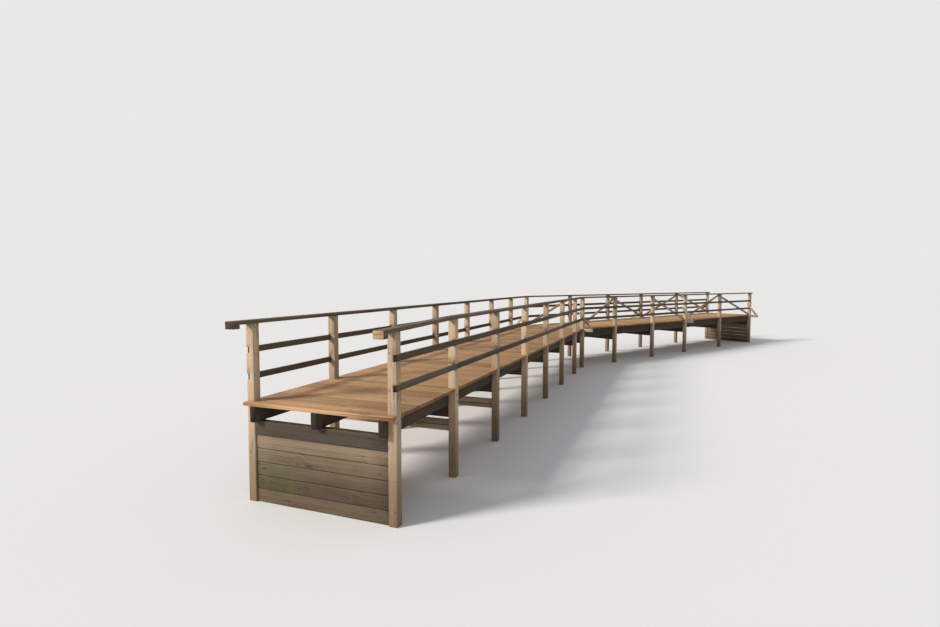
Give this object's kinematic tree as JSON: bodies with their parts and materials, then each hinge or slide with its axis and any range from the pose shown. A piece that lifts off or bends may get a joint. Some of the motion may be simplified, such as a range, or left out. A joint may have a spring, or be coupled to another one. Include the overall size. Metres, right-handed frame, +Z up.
{
  "type": "timber footbridge with an elbow",
  "caption": "Timber boardwalk footbridge in two straight legs that meet at an elbow, on post legs, with post and rail handrails, outriggers and diagonal braces.",
  "frame": {"origin": "under the middle of the near bank wall, on the ground", "axes": "+X along the first leg from the near bank, +Z up, the second leg turns to the right, towards -Y"},
  "size_m": [27.2512, 9.8649, 2.61],
  "materials": {
    "post_wood": "weathered sawn softwood, pale where the sun reaches it",
    "top_rail_wood": "dark weathered sawn softwood with paler worn edges",
    "middle_rail_wood": "dark weathered sawn softwood",
    "deck_wood": "worn brown cross boards, damp and mossy at the edges",
    "beam_wood": "dark damp sawn timber",
    "outrigger_wood": "weathered sawn softwood with pale end grain",
    "brace_wood": "weathered sawn boards",
    "bank_wood": "rough timber sleepers and boards",
    "steel_fixings": "dull galvanised bolt heads and washers"
  },
  "bodies": {
    "root": {"posts_01": "post_wood", "posts_02": "post_wood", "posts_03": "post_wood", "posts_04": "post_wood", "posts_05": "post_wood", "posts_06": "post_wood", "posts_07": "post_wood", "posts_08": "post_wood", "posts_09": "post_wood", "posts_10": "post_wood", "posts_11": "post_wood", "posts_12": "post_wood", "posts_13": "post_wood", "bearers_leg_1": "beam_wood", "bearer_elbow": "beam_wood", "bearers_leg_2": "beam_wood", "beam_left_1": "beam_wood", "beam_middle_1": "beam_wood", "beam_right_1": "beam_wood", "beam_left_2": "beam_wood", "beam_middle_2": "beam_wood", "beam_right_2": "beam_wood", "deck_leg_1": "deck_wood", "deck_leg_2": "deck_wood", "outrigger_elbow": "outrigger_wood", "outrigger_3": "outrigger_wood", "outrigger_5": "outrigger_wood", "struts_elbow": "outrigger_wood", "struts_3": "outrigger_wood", "struts_5": "outrigger_wood", "top_rail_left_1": "top_rail_wood", "top_rail_right_1": "top_rail_wood", "top_rail_left_2": "top_rail_wood", "top_rail_right_2": "top_rail_wood", "middle_rails_left_1": "middle_rail_wood", "middle_rails_right_1": "middle_rail_wood", "middle_rails_left_2": "middle_rail_wood", "middle_rails_right_2": "middle_rail_wood", "braces_left": "brace_wood", "braces_right": "brace_wood", "bank_wall_near": "bank_wood", "bank_wall_far": "bank_wood", "bank_boards": "bank_wood"}
  },
  "joints": []
}
